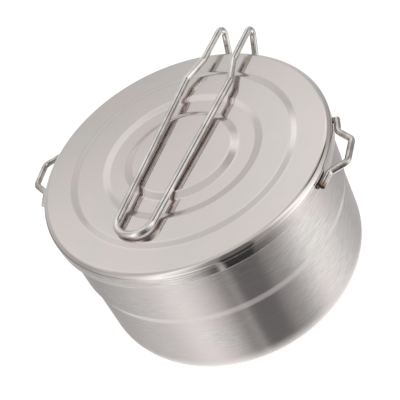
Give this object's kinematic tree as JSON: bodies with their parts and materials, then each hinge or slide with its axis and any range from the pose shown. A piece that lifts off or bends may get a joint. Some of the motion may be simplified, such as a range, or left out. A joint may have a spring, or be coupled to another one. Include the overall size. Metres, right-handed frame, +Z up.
{
  "type": "camping cook pot",
  "caption": "Round stainless camping cook pot with a pressed lid, a long wire handle that folds over the lid to hold it shut, and bent wire side grips.",
  "frame": {"origin": "centre of the flat base, on the surface that the pot stands on", "axes": "+Z up along the pot's axis; +Y towards the long handle's pivot; +X to the right, towards a side grip"},
  "size_m": [0.1816, 0.1757, 0.1054],
  "materials": {
    "pot_steel": "brushed round the wall",
    "lid_steel": "satin",
    "handle_steel": "polished",
    "bracket_steel": "satin",
    "grip_steel": "polished, heat tinted at the welds"
  },
  "bodies": {
    "pot": {"pot_body": "pot_steel", "handle_bracket": "bracket_steel", "side_grip_right": "grip_steel", "side_grip_left": "grip_steel"},
    "handle": {"long_handle": "handle_steel"},
    "lid": {"lid": "lid_steel"}
  },
  "joints": [
    {"name": "handle_swing", "type": "hinge", "parent": "pot", "child": "handle", "pos_m": [-0.0034, 0.0836, 0.074], "axis": [-1, 0, 0], "range_deg": [0, 170]},
    {"name": "lid_lift", "type": "slide", "parent": "pot", "child": "lid", "axis": [0, 0, 1], "range_m": [0, 0.044]}
  ],
  "couplings": [
    {"joint": "lid_lift", "follows": "handle_swing", "m_per_rad": 0.0148}
  ]
}
